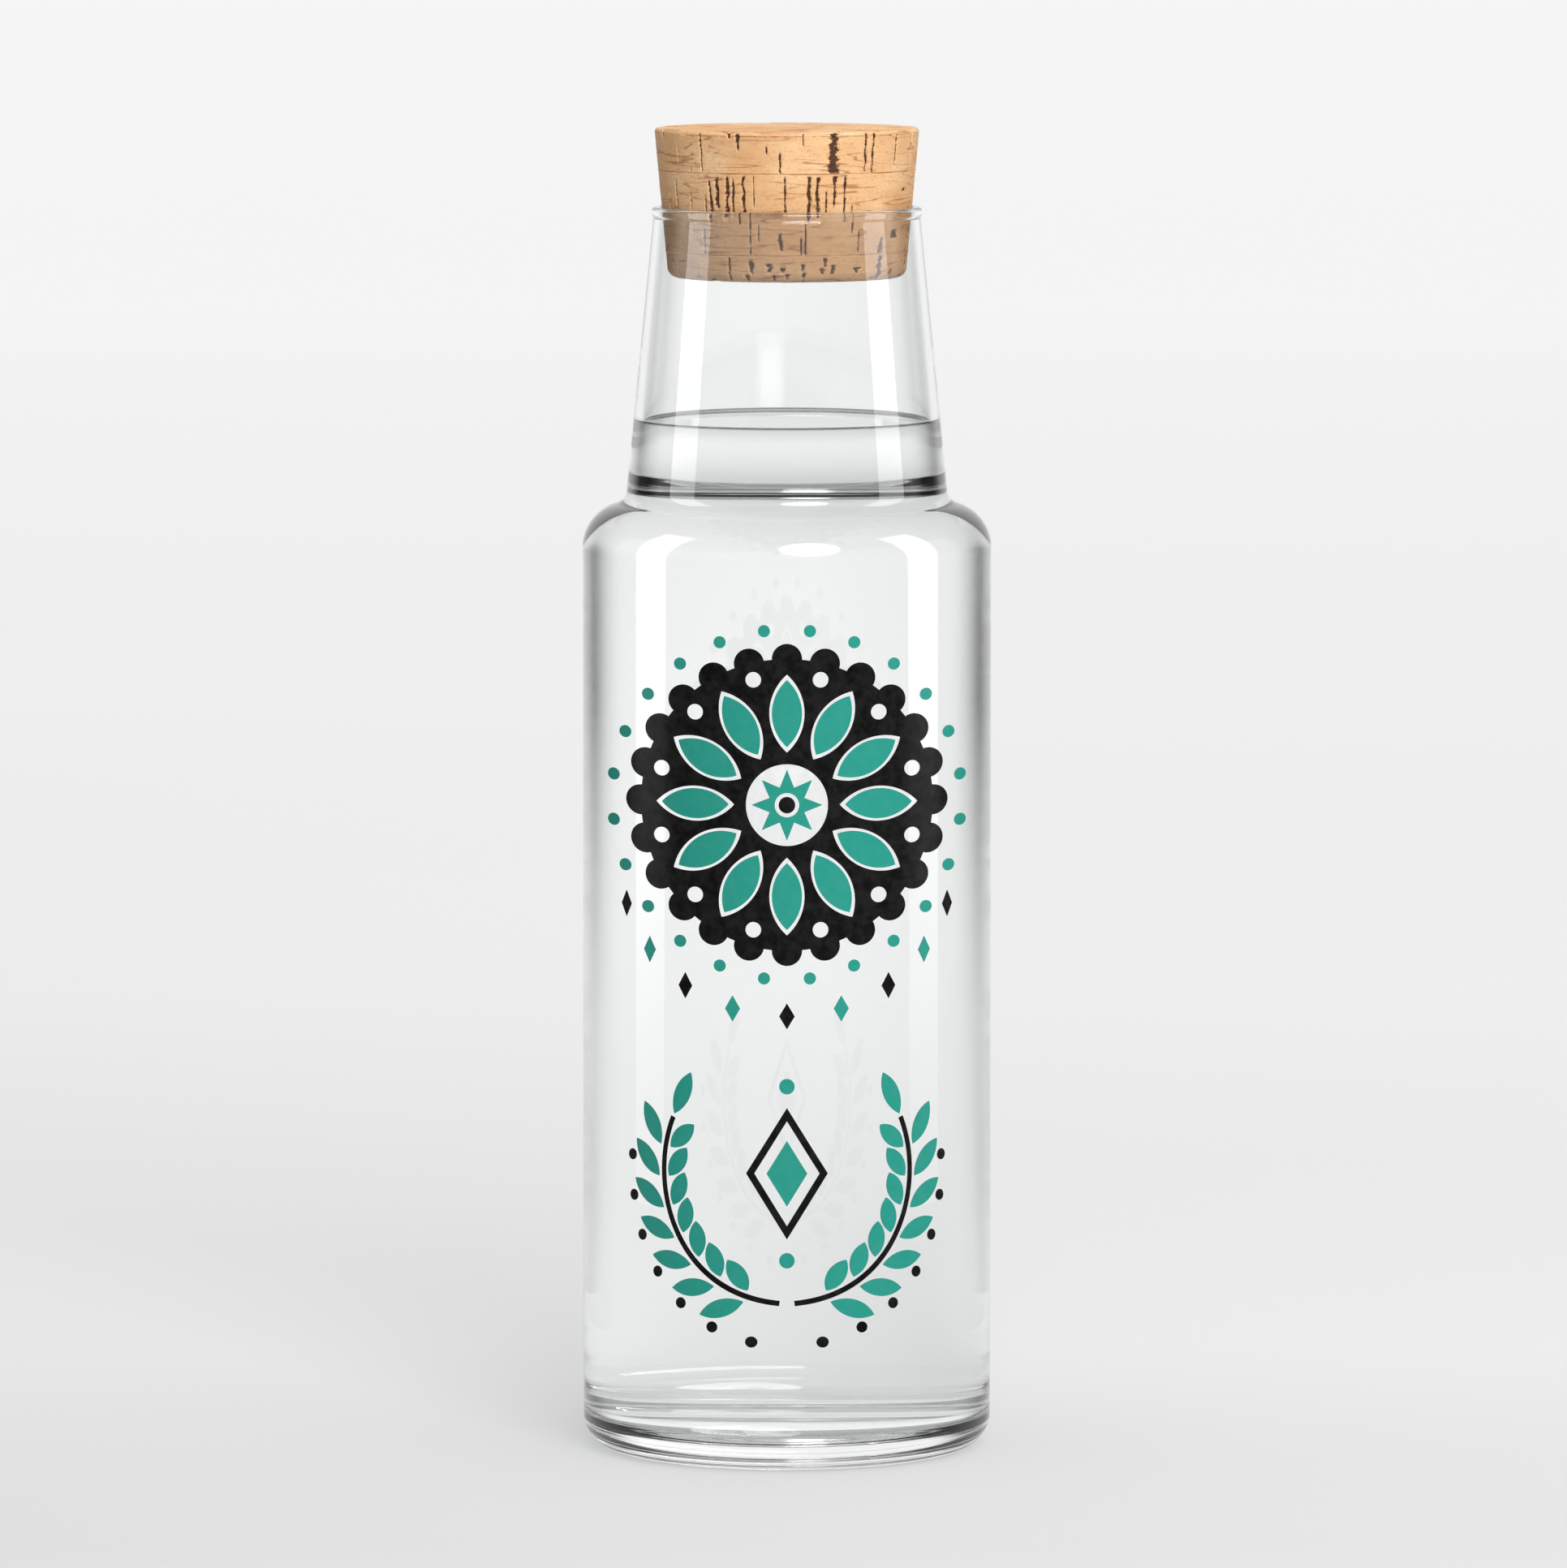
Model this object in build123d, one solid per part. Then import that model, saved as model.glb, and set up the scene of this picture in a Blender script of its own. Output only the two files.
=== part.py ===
from build123d import *
import os
from math import cos, pi, radians, sin, tan

os.makedirs("parts", exist_ok=True)

# A stoppered glass bottle: straight round body, tapered neck with a rim bead,
# a stopper glued up from three cork discs, the liquid inside, and two colours
# of ink printed on the front of the body. Lengths are in millimetres, +Z is up,
# the origin is the centre of the base, and -Y is the printed front.

# Glass body
body_diameter = 85.0
body_wall = 2.5
floor_thickness = 7.2
heel_radius = 7.0
inner_heel_radius = 2.2
push_up_depth = 1.4
resting_ring_width = 3.0

# Shoulder and neck
shoulder_height = 197.7
shoulder_radius = 9.5
inner_shoulder_radius = 7.8
neck_length = 61.3
neck_foot_diameter = 67.1
neck_foot_wall = 2.3
neck_foot_fillet = 3.3
inner_neck_foot_fillet = 5.6

# Mouth and rim bead
mouth_diameter = 52.4
neck_top_wall = 1.4
bead_width = 1.8
bead_height = 2.3
bead_rounding_share = 0.44

# Cork stopper
stopper_length = 31.1
stopper_depth_in_neck = 14.7
stopper_taper = 5.2
top_disc_thickness = 8.6
lower_disc_thickness = 5.5
glue_thickness = 0.15
stopper_top_rounding = 0.8
stopper_bottom_rounding = 2.2
seat_gap = 0.2

# Liquid
water_below_rim = 44.6
water_gap = 0.1

# Printed ink: all layers share one thickness and stand just clear of the glass
ink_thickness = 0.12
ink_gap = 0.05
ink_registration_gap = 0.5
print_top_gap = 12.45

# Round medallion on the front
medallion_radius = 30.0
medallion_rim_band = 3.2
scallop_radius = 3.1
scallop_count = 24
petal_width = 7.2
petal_count = 12
eyelet_radius = 1.6
eyelet_band = 1.8
centre_window_radius = 8.4
centre_window_band = 2.4
star_gap = 1.1
star_inner_share = 0.53
star_point_count = 8
pupil_radius = 1.7
pupil_gap = 0.8
dot_ring_gap = 1.65
ring_dot_radius = 1.25

# Row of small lozenges that hangs below the medallion
row_gap = 3.55
row_spread_angle = 60.0
row_count = 9
small_lozenge_half_width = 1.6
small_lozenge_half_height = 2.7

# Upright lozenge with a dot above and below it, under the row
motif_gap = 10.2
lozenge_half_width = 8.4
lozenge_half_height = 13.6
lozenge_band = 1.7
lozenge_heart_share = 0.5
lozenge_dot_gap = 2.8
lozenge_dot_radius = 1.6

# Two mirrored sprigs bent round the lozenge
sprig_gap = 7.4
sprig_across_share = 0.96
sprig_half_opening_angle = 6.0
sprig_end_angle = 24.0
stem_width = 1.1
leaf_pair_count = 7
outer_leaf_length = 9.6
inner_leaf_length = 7.4
leaf_width = 3.7
leaf_lean = 38.0
leaf_stem_gap = 0.7
berry_radius = 1.15

# Slack that cuts run past the faces they open
overrun = 5.0

# Heights and radii of the glass that follow from the sizes above
full_turn = 360
quarter_turn = 90
body_radius = body_diameter / 2
neck_foot_radius = neck_foot_diameter / 2
mouth_radius = mouth_diameter / 2
rim_height = shoulder_height + neck_length
water_height = rim_height - water_below_rim
straight_side_top = shoulder_height - shoulder_radius
resting_ring_radius = body_radius - heel_radius
push_up_radius = resting_ring_radius - resting_ring_width

# Layers of the stopper from the bottom up
stopper_bottom_height = rim_height - stopper_depth_in_neck
stopper_top_height = stopper_bottom_height + stopper_length
middle_disc_thickness = stopper_length - top_disc_thickness - lower_disc_thickness - 2 * glue_thickness
lower_seam_height = stopper_bottom_height + lower_disc_thickness
upper_seam_height = lower_seam_height + glue_thickness + middle_disc_thickness

# Places in the medallion, measured from its centre
petal_start = centre_window_radius + centre_window_band
petal_length = medallion_radius - medallion_rim_band - petal_start
eyelet_offset = medallion_radius - eyelet_band - eyelet_radius
star_outer_radius = centre_window_radius - star_gap
star_hole_radius = pupil_radius + pupil_gap
dot_ring_radius = medallion_radius + scallop_radius + dot_ring_gap + ring_dot_radius
row_bend_radius = dot_ring_radius + ring_dot_radius + row_gap + small_lozenge_half_height

# Heights of the motifs, each hung below the one above it
lozenge_dot_offset = lozenge_half_height + lozenge_dot_gap + lozenge_dot_radius
lozenge_reach = lozenge_dot_offset + lozenge_dot_radius
sprig_bend_radius = lozenge_reach + sprig_gap
sprig_across = sprig_bend_radius * sprig_across_share
sprig_start_angle = sprig_half_opening_angle - quarter_turn
medallion_height = straight_side_top - print_top_gap - dot_ring_radius - ring_dot_radius
row_foot_height = medallion_height - row_bend_radius - small_lozenge_half_height
sprig_height = row_foot_height - motif_gap - lozenge_reach


def bottle_form(radius, foot, heel, shoulder_top, shoulder, neck_foot, neck_top, top, fillet_radius):
    """Solid of revolution with a straight body, a round shoulder and a tapered neck.

    Growing the outline and shrinking it back rounds the corner at the neck's foot.
    """
    body = Pos(radius / 2, (foot + shoulder_top) / 2) * Rectangle(radius, shoulder_top - foot)
    heel_corner = body.vertices().sort_by_distance((radius, foot, 0))
    body = fillet(heel_corner[0], heel)
    shoulder_corner = body.vertices().sort_by_distance((radius, shoulder_top, 0))
    body = fillet(shoulder_corner[0], shoulder)
    root = shoulder_top - shoulder
    taper = (neck_foot - neck_top) / (top - shoulder_top)
    root_radius = neck_foot + taper * shoulder
    neck = make_face(Polyline((0, root), (root_radius, root), (neck_top, top), (0, top), close=True))
    grown = offset(body + neck, fillet_radius, kind=Kind.INTERSECTION)
    profile = offset(grown, -fillet_radius, kind=Kind.ARC)
    return revolve(Plane.XZ * profile, Axis.Z)


def hollow_form(inset):
    """The space inside the glass, drawn in by an inset all round and open past the rim."""
    radius_at_rim = mouth_radius - inset
    radius_at_foot = neck_foot_radius - neck_foot_wall - inset
    taper = (radius_at_foot - radius_at_rim) / neck_length
    return bottle_form(
        body_radius - body_wall - inset,
        floor_thickness + inset,
        inner_heel_radius,
        shoulder_height - body_wall - inset,
        inner_shoulder_radius,
        radius_at_foot + taper * (body_wall + inset),
        radius_at_rim - taper * overrun,
        rim_height + overrun,
        inner_neck_foot_fillet,
    )


def make_glass_bottle():
    """Blown glass: thick base with a shallow push-up, even wall, rim bead."""
    bead_middle = rim_height - bead_height / 2
    outside = bottle_form(
        body_radius,
        0,
        heel_radius,
        shoulder_height,
        shoulder_radius,
        neck_foot_radius,
        mouth_radius + neck_top_wall,
        bead_middle,
        neck_foot_fillet,
    )
    bead_profile = RectangleRounded(bead_width, bead_height, bead_width * bead_rounding_share)
    bead_place = Pos(mouth_radius + bead_width / 2, bead_middle)
    bead = revolve(Plane.XZ * bead_place * bead_profile, Axis.Z)
    push_up_sphere = (push_up_radius**2 + push_up_depth**2) / (2 * push_up_depth)
    push_up = Pos(0, 0, push_up_depth - push_up_sphere) * Sphere(push_up_sphere)
    return outside + bead - hollow_form(0) - push_up


def make_water():
    """Clear liquid that fills the hollow up to the water line in the neck."""
    filled = Pos(0, 0, water_height / 2) * Cylinder(body_radius, water_height)
    return hollow_form(water_gap) & filled


def stopper_radius(height):
    """Radius of the tapered stopper at a height; it meets the mouth at the rim."""
    return mouth_radius - seat_gap + (height - rim_height) * tan(radians(stopper_taper))


def make_stopper():
    """The whole tapered stopper with its two rounded edges, before it is sliced."""
    bottom_radius = stopper_radius(stopper_bottom_height)
    top_radius = stopper_radius(stopper_top_height)
    outline = Polyline(
        (0, stopper_bottom_height),
        (bottom_radius, stopper_bottom_height),
        (top_radius, stopper_top_height),
        (0, stopper_top_height),
        close=True,
    )
    profile = make_face(outline)
    bottom_edge = profile.vertices().sort_by_distance((bottom_radius, stopper_bottom_height, 0))
    profile = fillet(bottom_edge[0], stopper_bottom_rounding)
    top_edge = profile.vertices().sort_by_distance((top_radius, stopper_top_height, 0))
    profile = fillet(top_edge[0], stopper_top_rounding)
    return revolve(Plane.XZ * profile, Axis.Z)


def stopper_layer(bottom, thickness):
    """One flat slice of the stopper, from a height upwards."""
    reach = stopper_radius(stopper_top_height) + overrun
    slab = Pos(0, 0, bottom + thickness / 2) * Cylinder(reach, thickness)
    return make_stopper() & slab


def make_ink_shell():
    """Thin sleeve round the body that every printed motif is cut from."""
    inner_radius = body_radius + ink_gap
    outer_radius = inner_radius + ink_thickness
    length = straight_side_top - heel_radius
    sleeve = Cylinder(outer_radius, length) - Cylinder(inner_radius, length)
    return Pos(0, 0, heel_radius + length / 2) * sleeve


def printed(motif, across, height):
    """A flat motif laid on the glass; across is measured round the body from the front."""
    turn = across / body_radius
    outward = (sin(turn), -cos(turn), 0)
    sideways = (cos(turn), sin(turn), 0)
    place = Plane(origin=(0, 0, height), x_dir=sideways, z_dir=outward)
    return ink_shell & extrude(place * motif, body_radius + overrun)


def leaf(length, width):
    """Pointed leaf outline that starts at the origin and lies along +X."""
    upper = ThreePointArc((0, 0), (length / 2, width / 2), (length, 0))
    lower = ThreePointArc((length, 0), (length / 2, -width / 2), (0, 0))
    return make_face(upper + lower)


def lozenge(half_width, half_height):
    """Upright diamond outline round the origin."""
    corners = [(half_width, 0), (0, half_height), (-half_width, 0), (0, -half_height)]
    return make_face(Polyline(*corners, close=True))


def star(outer, inner, points):
    """Star outline round the origin with its first point upwards."""
    corners = []
    for corner in range(2 * points):
        radius = inner if corner % 2 else outer
        angle = pi / 2 + corner * pi / points
        corners.append((radius * cos(angle), radius * sin(angle)))
    return make_face(Polyline(*corners, close=True))


def ring_of(shape, radius, count, first_angle):
    """Copies of a shape round the origin, each turned to point outwards."""
    step = full_turn / count
    return [Rot(0, 0, first_angle + step * copy) * Pos(radius, 0) * shape for copy in range(count)]


def medallion_black():
    """Scalloped disc with leaf windows, eyelets, a round window and its pupil."""
    step = full_turn / petal_count
    disc = Circle(medallion_radius)
    disc += ring_of(Circle(scallop_radius), medallion_radius, scallop_count, 0)
    disc -= ring_of(leaf(petal_length, petal_width), petal_start, petal_count, 0)
    disc -= ring_of(Circle(eyelet_radius), eyelet_offset, petal_count, step / 2)
    disc -= Circle(centre_window_radius)
    return disc + Circle(pupil_radius)


def medallion_teal():
    """Leaves inside the windows, a pierced star and a ring of dots."""
    inset = 2 * ink_registration_gap
    tip_inset = inset * petal_length / petal_width
    petal = leaf(petal_length - tip_inset, petal_width - inset)
    petals = ring_of(petal, petal_start + tip_inset / 2, petal_count, 0)
    whole_star = star(star_outer_radius, star_outer_radius * star_inner_share, star_point_count)
    pierced_star = whole_star - Circle(star_hole_radius)
    dots = ring_of(Circle(ring_dot_radius), dot_ring_radius, scallop_count, full_turn / scallop_count / 2)
    return Sketch() + petals + dots + pierced_star


def along_sprig(share):
    """Angle round the sprig's centre at a share of its length."""
    return sprig_start_angle + share * (sprig_end_angle - sprig_start_angle)


def on_sprig(angle, offset, lean, shape):
    """A shape set beside the stem: offset from it, and leaning from its direction."""
    around = Rot(0, 0, angle) * Pos(sprig_bend_radius + offset, 0)
    return around * Rot(0, 0, quarter_turn + lean) * shape


def sprig_teal():
    """Leaves in pairs along the stem, and one at its tip."""
    side_gap = stem_width / 2 + leaf_stem_gap
    outer_leaf = leaf(outer_leaf_length, leaf_width)
    inner_leaf = leaf(inner_leaf_length, leaf_width)
    leaves = [on_sprig(sprig_end_angle, 0, 0, Pos(leaf_stem_gap, 0) * outer_leaf)]
    for pair in range(leaf_pair_count):
        angle = along_sprig((pair + 1) / (leaf_pair_count + 1))
        leaves.append(on_sprig(angle, side_gap, -leaf_lean, outer_leaf))
        leaves.append(on_sprig(angle, -side_gap, leaf_lean, inner_leaf))
    return Sketch() + leaves


def sprig_black():
    """The stem, and a row of berries just past the tips of the outer leaves."""
    outer_radius = sprig_bend_radius + stem_width / 2
    inner_radius = sprig_bend_radius - stem_width / 2
    sweep = sprig_end_angle - sprig_start_angle
    outer = CenterArc((0, 0), outer_radius, sprig_start_angle, sweep)
    inner = CenterArc((0, 0), inner_radius, sprig_start_angle, sweep)
    stem = make_face(outer + inner + Line(outer @ 0, inner @ 0) + Line(outer @ 1, inner @ 1))
    leaf_reach = stem_width / 2 + leaf_stem_gap + outer_leaf_length * sin(radians(leaf_lean))
    berry_offset = leaf_reach + ink_registration_gap + berry_radius
    berries = []
    for berry in range(leaf_pair_count):
        angle = along_sprig((berry + 1 / 2) / (leaf_pair_count + 1))
        berries.append(on_sprig(angle, berry_offset, 0, Circle(berry_radius)))
    return stem + berries


def place_sprig(sprig, side):
    """A sprig on the right side of the glass, or mirrored on the left."""
    shifted = Pos(-sprig_across, 0) * sprig
    if side < 0:
        shifted = mirror(shifted, Plane.YZ)
    return printed(shifted, side * sprig_across, sprig_height)


def row_of_lozenges(first):
    """Every second small lozenge of the row that hangs below the medallion."""
    small = lozenge(small_lozenge_half_width, small_lozenge_half_height)
    pieces = []
    for place in range(first, row_count, 2):
        angle = radians(row_spread_angle * (2 * place / (row_count - 1) - 1))
        across = row_bend_radius * sin(angle)
        height = medallion_height - row_bend_radius * cos(angle)
        pieces += printed(small, across, height).solids()
    return pieces


def centre_black():
    """Lozenge band between the sprigs and the black lozenges of the row."""
    band_share = 1 - lozenge_band / lozenge_half_width
    window = lozenge(lozenge_half_width * band_share, lozenge_half_height * band_share)
    mark = lozenge(lozenge_half_width, lozenge_half_height) - window
    return Compound(printed(mark, 0, sprig_height).solids() + row_of_lozenges(0))


def centre_teal():
    """Heart of the lozenge, the dots above and below it, and the teal lozenges of the row."""
    heart = lozenge(lozenge_half_width * lozenge_heart_share, lozenge_half_height * lozenge_heart_share)
    dot = Circle(lozenge_dot_radius)
    marks = heart + Pos(0, lozenge_dot_offset) * dot + Pos(0, -lozenge_dot_offset) * dot
    return Compound(printed(marks, 0, sprig_height).solids() + row_of_lozenges(1))


ink_shell = make_ink_shell()

parts = {
    "glass_bottle": make_glass_bottle(),
    "water": make_water(),
    "cork_top_disc": stopper_layer(upper_seam_height + glue_thickness, top_disc_thickness),
    "glue_film_upper": stopper_layer(upper_seam_height, glue_thickness),
    "cork_middle_disc": stopper_layer(lower_seam_height + glue_thickness, middle_disc_thickness),
    "glue_film_lower": stopper_layer(lower_seam_height, glue_thickness),
    "cork_lower_disc": stopper_layer(stopper_bottom_height, lower_disc_thickness),
    "ink_medallion_black": printed(medallion_black(), 0, medallion_height),
    "ink_medallion_teal": printed(medallion_teal(), 0, medallion_height),
    "ink_sprig_right_black": place_sprig(sprig_black(), 1),
    "ink_sprig_right_teal": place_sprig(sprig_teal(), 1),
    "ink_sprig_left_black": place_sprig(sprig_black(), -1),
    "ink_sprig_left_teal": place_sprig(sprig_teal(), -1),
    "ink_centre_black": centre_black(),
    "ink_centre_teal": centre_teal(),
}

for name, shape in parts.items():
    export_step(shape, f"parts/{name}.step")
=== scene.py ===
# A stoppered glass bottle of water with a two-colour print, dressed for a studio
# picture. Sizes are in metres, +Z is up and -Y is the printed front.

from math import atan2, ceil, cos, exp, hypot, pi, radians, sin, sqrt, tan

import bmesh
import bpy
import numpy as np
from bpy.props import FloatProperty, FloatVectorProperty, IntProperty, PointerProperty
from bpy.types import Operator, Panel, PropertyGroup
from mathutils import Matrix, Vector


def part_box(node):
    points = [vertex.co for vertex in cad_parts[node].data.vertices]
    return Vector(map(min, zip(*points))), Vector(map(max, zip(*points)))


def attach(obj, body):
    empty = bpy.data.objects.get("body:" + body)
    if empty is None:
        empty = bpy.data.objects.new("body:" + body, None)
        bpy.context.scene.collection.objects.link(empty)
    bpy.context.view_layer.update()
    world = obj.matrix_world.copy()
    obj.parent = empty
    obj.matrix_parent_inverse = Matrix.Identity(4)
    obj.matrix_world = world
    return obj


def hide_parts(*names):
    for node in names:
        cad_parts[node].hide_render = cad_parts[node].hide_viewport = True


bl_info = {
    "name": "Stoppered Glass Bottle",
    "version": (1, 0, 0),
    "blender": (4, 5, 0),
    "location": "3D View > Sidebar > Bottle",
    "description": "Builds a stoppered glass bottle of water, its print and its studio",
    "category": "Add Mesh",
}

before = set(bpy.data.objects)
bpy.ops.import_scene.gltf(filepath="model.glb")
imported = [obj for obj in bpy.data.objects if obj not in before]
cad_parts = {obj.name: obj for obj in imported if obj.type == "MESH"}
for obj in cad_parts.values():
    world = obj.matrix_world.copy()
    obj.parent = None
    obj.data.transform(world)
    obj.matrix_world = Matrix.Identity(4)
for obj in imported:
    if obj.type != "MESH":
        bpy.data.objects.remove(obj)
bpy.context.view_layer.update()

MM = 0.001
FULL_TURN = 2 * pi
QUARTER_TURN = pi / 2

# The photograph's height and the solved focal length in pixels, and the sensor in mm
PHOTO_HEIGHT = 1932
FOCAL_PIXELS = 14266
SENSOR = 36.0

# Corners of the CAD pieces that the dressed ones fit
GLASS_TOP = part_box("glass_bottle")[1]
WATER_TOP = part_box("water")[1]
STOPPER_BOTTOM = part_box("cork_lower_disc")[0].z
STOPPER_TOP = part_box("cork_top_disc")[1]


def length(name, description, default):
    """A property that holds a length in metres."""
    return FloatProperty(
        name=name,
        description=description,
        default=default,
        min=0.0,
        precision=5,
        subtype="DISTANCE",
        unit="LENGTH",
    )


def share(name, description, default):
    """A property that holds a share from 0 to 1."""
    return FloatProperty(
        name=name, description=description, default=default, min=0.0, max=1.0, subtype="FACTOR"
    )


def angle(name, description, degrees):
    """A property that holds an angle, given here in degrees."""
    return FloatProperty(
        name=name, description=description, default=radians(degrees), subtype="ANGLE", unit="ROTATION"
    )


def amount(name, description, default):
    """A property that holds a plain number."""
    return FloatProperty(name=name, description=description, default=default)


def count(name, description, default):
    """A property that holds a whole number."""
    return IntProperty(name=name, description=description, default=default, min=1)


def linear(channel):
    """One display colour channel from 0 to 255 as a linear value, by the sRGB curve."""
    value = channel / 255
    return value / 12.92 if value <= 0.04045 else ((value + 0.055) / 1.055) ** 2.4


def colour(name, description, red, green, blue):
    """A property that holds a colour, given here as it shows on a display."""
    return FloatVectorProperty(
        name=name,
        description=description,
        default=(linear(red), linear(green), linear(blue)),
        min=0.0,
        max=1.0,
        subtype="COLOR",
    )


class GlassSettings(PropertyGroup):
    """Sizes and colour of the glass."""

    body_radius: length("Body radius", "Outer radius of the straight side", GLASS_TOP.x)
    wall: length("Wall", "Thickness of the straight side", 2.5 * MM)
    floor: length("Floor", "Thickness of the base above the table", 7.2 * MM)
    heel: length("Heel", "Rounding between side and base", 7.0 * MM)
    inner_heel: length("Inner heel", "Rounding between side and floor inside", 2.2 * MM)
    push_up: length("Push-up", "Height of the hollow under the base", 1.4 * MM)
    resting_ring: length("Resting ring", "Width of the ring that the bottle stands on", 3.0 * MM)
    shoulder_height: length("Shoulder height", "Height of the shoulder", 197.7 * MM)
    shoulder: length("Shoulder", "Rounding of the shoulder outside", 9.5 * MM)
    inner_shoulder: length("Inner shoulder", "Rounding of the shoulder inside", 7.8 * MM)
    neck_foot: length("Neck foot", "Outer radius of the neck at the shoulder", 33.55 * MM)
    neck_foot_wall: length("Neck foot wall", "Thickness of the neck at the shoulder", 2.3 * MM)
    neck_foot_round: length("Neck foot rounding", "Rounding between neck and shoulder", 3.3 * MM)
    inner_neck_foot_round: length("Inner neck foot rounding", "The same corner inside", 5.6 * MM)
    rim_height: length("Rim height", "Height of the rim", GLASS_TOP.z)
    mouth: length("Mouth", "Inner radius at the rim", 26.2 * MM)
    neck_top_wall: length("Neck top wall", "Thickness of the neck at the bead", 1.4 * MM)
    bead_width: length("Bead width", "Width of the bead at the rim", 1.8 * MM)
    bead_height: length("Bead height", "Height of the bead at the rim", 2.3 * MM)
    bead_round: share("Bead rounding", "Rounding of the bead as a share of its width", 0.44)
    tint_and_shade: colour("Tint", "Colour that the glass gives to light", 254, 255, 255)
    shade: colour("Shade", "Light that one face lets through to a shadow", 226, 227, 228)
    ripple: length("Ripple", "Height of the faint ripple in the blown faces", 0.001 * MM)
    segments: count("Segments", "Faces round the bottle", 312)


class WaterSettings(PropertyGroup):
    """Sizes and colour of the water."""

    level: length("Level", "Height of the water", WATER_TOP.z)
    gap: length("Gap", "Hair's breadth between the water's side and the glass", 0.02 * MM)
    meniscus: length("Meniscus", "How far the water climbs at the glass", 0.5 * MM)
    meniscus_reach: length("Meniscus reach", "Distance in which the climb falls away", 0.4 * MM)
    # Painted shade: a grey on the water's surface that darkens the view through the top of the water
    tint_and_shade: colour("Tint", "Colour that the surface gives to light", 204, 204, 204)


class CorkSettings(PropertyGroup):
    """Sizes and colours of the stopper."""

    taper: angle("Taper", "Slope of the stopper's side", 5.2)
    top_radius: length("Top radius", "Radius at the top face", STOPPER_TOP.x)
    top_round: length("Top rounding", "Rounding of the top edge", 0.8 * MM)
    bottom_round: length("Bottom rounding", "Rounding of the bottom edge", 2.2 * MM)
    segments: count("Segments", "Faces round the stopper", 1024)
    row: length("Row", "Height of one row of faces", 0.25 * MM)
    face_cell: length("Face cell", "Size of the faces on top and bottom", 0.34 * MM)
    sanding: length("Sanding marks", "Depth of the soft waves left by sanding", 0.07 * MM)
    pit_depth: length("Pit depth", "Depth of the pores", 0.45 * MM)
    tan: colour("Tan", "Main colour of the cork", 218, 171, 122)
    pale: colour("Pale", "Lighter patches of the cork", 230, 190, 145)
    ruddy: colour("Ruddy", "Darker, redder patches of the cork", 196, 138, 88)
    line: colour("Growth line", "Thin lines of the yearly growth", 140, 74, 36)
    pore: colour("Pore", "Dark lining of the pores", 58, 26, 10)
    glue: colour("Glue", "Thin film between the discs", 168, 112, 66)
    # Painted shade: warm grey that darkens the cork below the glass rim
    painted_shade: colour("Painted shade", "Light kept by the cork that the damp neck darkens", 243, 234, 224)
    seed: count("Seed", "Start of the random pores at the sides and back", 11)


class InkSettings(PropertyGroup):
    """Colours of the print."""

    black: colour("Black", "Dark ink", 5, 4, 5)
    teal: colour("Teal", "Green ink", 38, 140, 125)
    roughness: share("Roughness", "Gloss of the dry ink", 0.22)
    sheen: share("Sheen", "Strength of the ink's reflections", 0.06)
    mottling: share("Mottling", "Unevenness of the ink's tone", 0.015)


class StageSettings(PropertyGroup):
    """Camera, lamps and floor."""

    camera_distance: length("Camera distance", "From the bottle's axis to the camera", 2.4)
    camera_height: length("Camera height", "Height of the camera", 0.3683)
    camera_aside: FloatProperty(
        name="Camera aside", description="Shift of the camera along X", default=-0.0007, unit="LENGTH"
    )
    camera_tilt: angle("Camera tilt", "How far the camera looks down", 5.4628)
    floor_radius: length("Floor radius", "Radius of the pale floor", 12.2)
    floor_tone: colour("Floor tone", "Colour of the floor", 210, 210, 210)
    world_light: amount("World light", "Strength of the even light from all sides", 0.31)
    panel_light: amount("Side panel light", "Brightness of the two side panels", 4.6)
    key_light: amount("Key light", "Brightness of the round lamp above the camera", 6.6)
    side_light: amount("Side light", "Brightness of the lamp at the right", 3.4)
    top_light: amount("Top light", "Brightness of the lamp overhead", 3.2)
    bounces: count("Bounces", "How often light may turn inside the glass", 28)


# Outlines of the turned pieces: points (radius, height)
ARC_STEP = radians(3)
PUSH_UP_STEPS = 14
RUN_SPACING = 4.5 * MM
SAME_POINT = 1e-7
RING_STEPS = 3
SMALL_ARC_STEP = 3 * ARC_STEP
BEAD_GAP = 0.05 * MM
NECK_END = 0.3 * MM
# Distances from the glass at which the water's climb is drawn, as multiples of its reach
MENISCUS_STEPS = (0.1, 0.25, 0.45, 0.7, 1.0, 1.4, 1.9, 2.5, 3.3, 4.5, 6.0, 8.0)


def arc(centre, radius, start, end, step=ARC_STEP):
    """Points on an arc; angle 0 points away from the axis."""
    steps = max(2, ceil(abs(end - start) / step))
    turns = [start + (end - start) * place / steps for place in range(steps + 1)]
    return [(centre[0] + radius * cos(turn), centre[1] + radius * sin(turn)) for turn in turns]


def run(start, end, spacing=RUN_SPACING):
    """Points along a straight stretch, closer together near its ends."""
    steps = max(1, ceil(hypot(end[0] - start[0], end[1] - start[1]) / spacing))
    eased = [(1 - cos(pi * place / steps)) / 2 for place in range(steps + 1)]
    return [(start[0] + (end[0] - start[0]) * s, start[1] + (end[1] - start[1]) * s) for s in eased]


def without_repeats(points):
    """The points with each one that repeats the last left out."""
    kept = [points[0]]
    for point in points[1:]:
        if hypot(point[0] - kept[-1][0], point[1] - kept[-1][1]) > SAME_POINT:
            kept.append(point)
    return kept


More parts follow.
